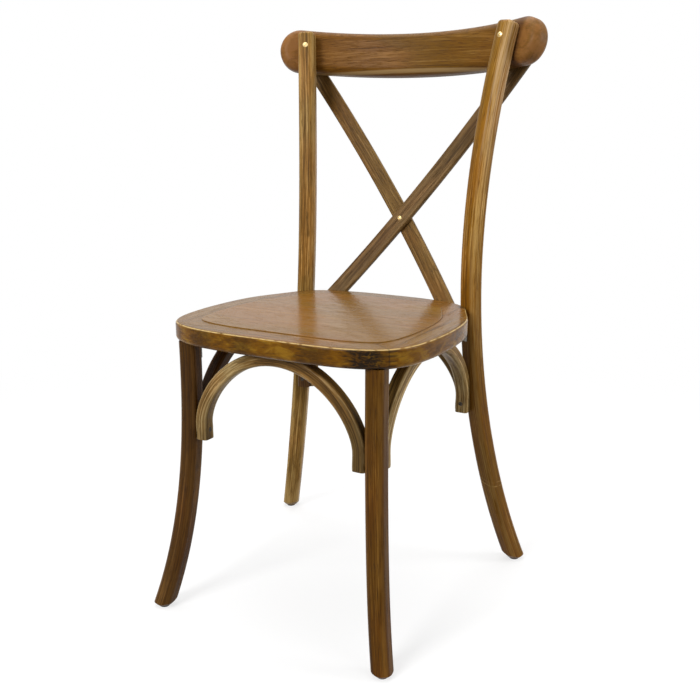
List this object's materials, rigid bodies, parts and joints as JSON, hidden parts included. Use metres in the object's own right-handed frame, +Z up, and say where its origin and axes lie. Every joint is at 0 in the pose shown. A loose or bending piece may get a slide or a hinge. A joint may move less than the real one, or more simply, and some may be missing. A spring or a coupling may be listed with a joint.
{
  "type": "cross back chair",
  "caption": "Wooden dining chair with a crossed-slat bentwood back, curved crest rail, inset panel seat, splayed legs and bent arches under the seat.",
  "frame": {"origin": "on the floor under the middle of the chair's outer box", "axes": "+Z up, front of the chair towards -Y, +X towards the chair's right side as seen from the front"},
  "size_m": [0.4908, 0.5225, 0.8887],
  "materials": {
    "post_wood": "satin lacquered, mid brown",
    "leg_wood": "satin lacquered, darker brown",
    "rail_wood": "satin lacquered, steam-bent, streaked grain",
    "slat_wood": "satin lacquered, streaked grain",
    "seat_rail_wood": "gloss lacquered",
    "seat_panel_wood": "gloss lacquered veneered panel",
    "arch_wood": "satin lacquered, lighter steam-bent strip",
    "brass": "brushed, slightly dulled",
    "zinc_steel": "zinc plated",
    "dark_steel": "browned screws, dull",
    "bracket_steel": "zinc plated, dull",
    "glide_plastic": "matt dark"
  },
  "bodies": {
    "root": {"crest_rail": "rail_wood", "rear_post_left": "post_wood", "rear_post_right": "post_wood", "cross_slat_front": "slat_wood", "cross_slat_rear": "slat_wood", "seat_front_rail": "seat_rail_wood", "seat_rear_rail": "seat_rail_wood", "seat_side_rail_left": "seat_rail_wood", "seat_side_rail_right": "seat_rail_wood", "seat_panel": "seat_panel_wood", "front_leg_left": "leg_wood", "front_leg_right": "leg_wood", "front_arch": "arch_wood", "rear_arch": "arch_wood", "side_arch_left": "arch_wood", "side_arch_right": "arch_wood", "rail_screws": "brass", "cross_screw": "brass", "slat_top_screws": "zinc_steel", "slat_bottom_screws": "zinc_steel", "arch_leg_screws": "dark_steel", "arch_seat_screws": "dark_steel", "leg_brackets": "bracket_steel", "bracket_screws": "zinc_steel", "post_bolts": "zinc_steel", "post_bolt_nuts": "zinc_steel", "glide_pads": "glide_plastic", "glide_nails": "zinc_steel"}
  },
  "joints": []
}
